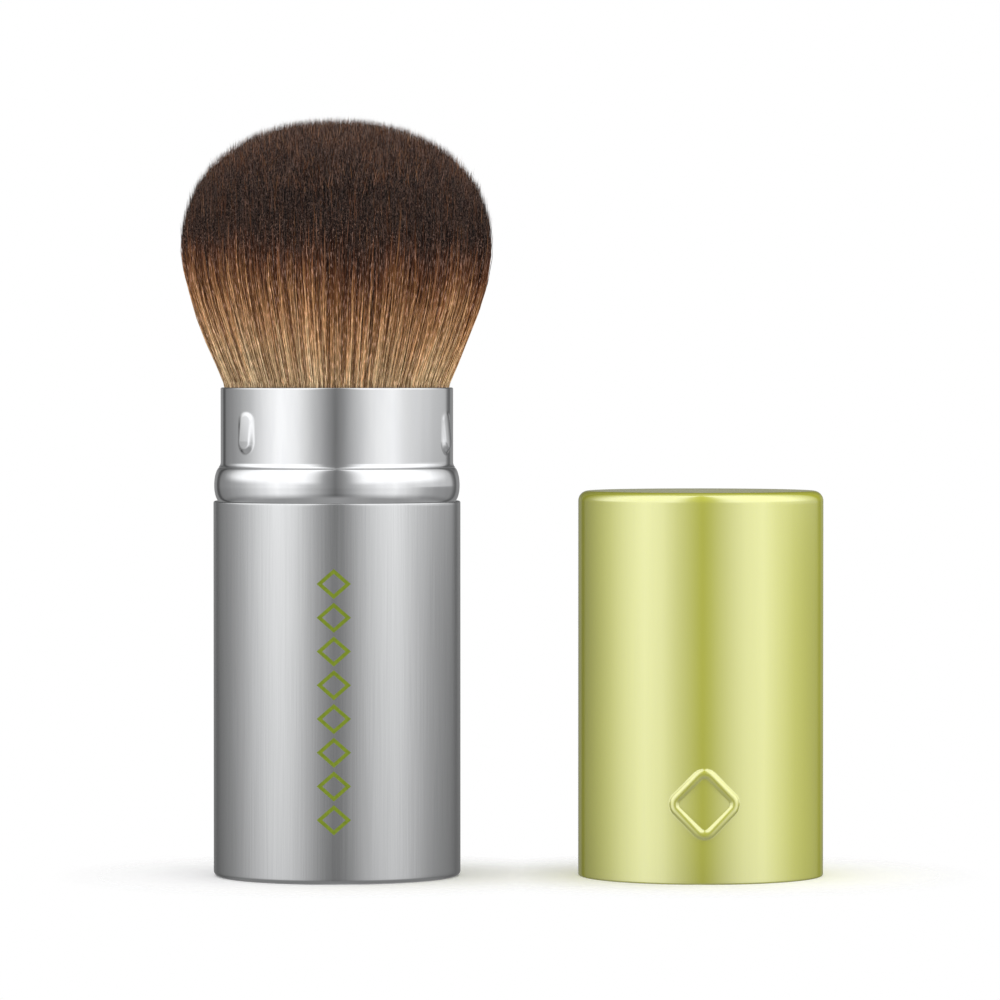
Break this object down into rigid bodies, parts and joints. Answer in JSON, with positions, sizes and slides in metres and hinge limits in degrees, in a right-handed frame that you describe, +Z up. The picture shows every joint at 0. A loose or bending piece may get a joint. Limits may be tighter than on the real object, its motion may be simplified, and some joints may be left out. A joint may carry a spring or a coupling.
{
  "type": "retractable makeup brush",
  "caption": "Round powder brush in a metal barrel, with a sliding collar that gathers the bristles and a separate drawn cap standing beside it.",
  "frame": {"origin": "centre of the barrel's flat base, which the brush stands on", "axes": "+Z up along the brush's own axis towards the bristles; -Y is the front, with the raised lozenge on the cap; +X runs from the brush to the cap"},
  "size_m": [0.0881, 0.0422, 0.1041],
  "materials": {
    "brushed_aluminium": "satin",
    "bright_aluminium": "polished",
    "lime_anodised_aluminium": "satin",
    "zinc_plated_steel": "satin",
    "moulded_polypropylene": "satin",
    "moulded_acetal": "satin",
    "silicone_rubber": "matte",
    "cast_epoxy": "gloss",
    "synthetic_fibre": "satin"
  },
  "bodies": {
    "handle": {"barrel_shell": "brushed_aluminium", "base_plug": "moulded_polypropylene", "base_weight": "zinc_plated_steel", "core_post": "moulded_polypropylene", "post_head": "moulded_polypropylene", "ferrule_cup": "bright_aluminium", "ferrule_screw": "zinc_plated_steel", "knot_resin": "cast_epoxy", "bristles": "synthetic_fibre"},
    "collar": {"collar_sleeve": "bright_aluminium", "slide_ring": "moulded_acetal", "drag_ring": "silicone_rubber"},
    "cap": {"cap_shell": "lime_anodised_aluminium"}
  },
  "joints": [
    {"name": "collar_slide", "type": "slide", "parent": "handle", "child": "collar", "axis": [0, 0, 1], "range_m": [0, 0.0368], "deforming": ["bristles"]},
    {"name": "cap_lift", "type": "slide", "parent": "handle", "child": "cap", "axis": [0, 0, 1], "range_m": [0, 0.11]}
  ]
}
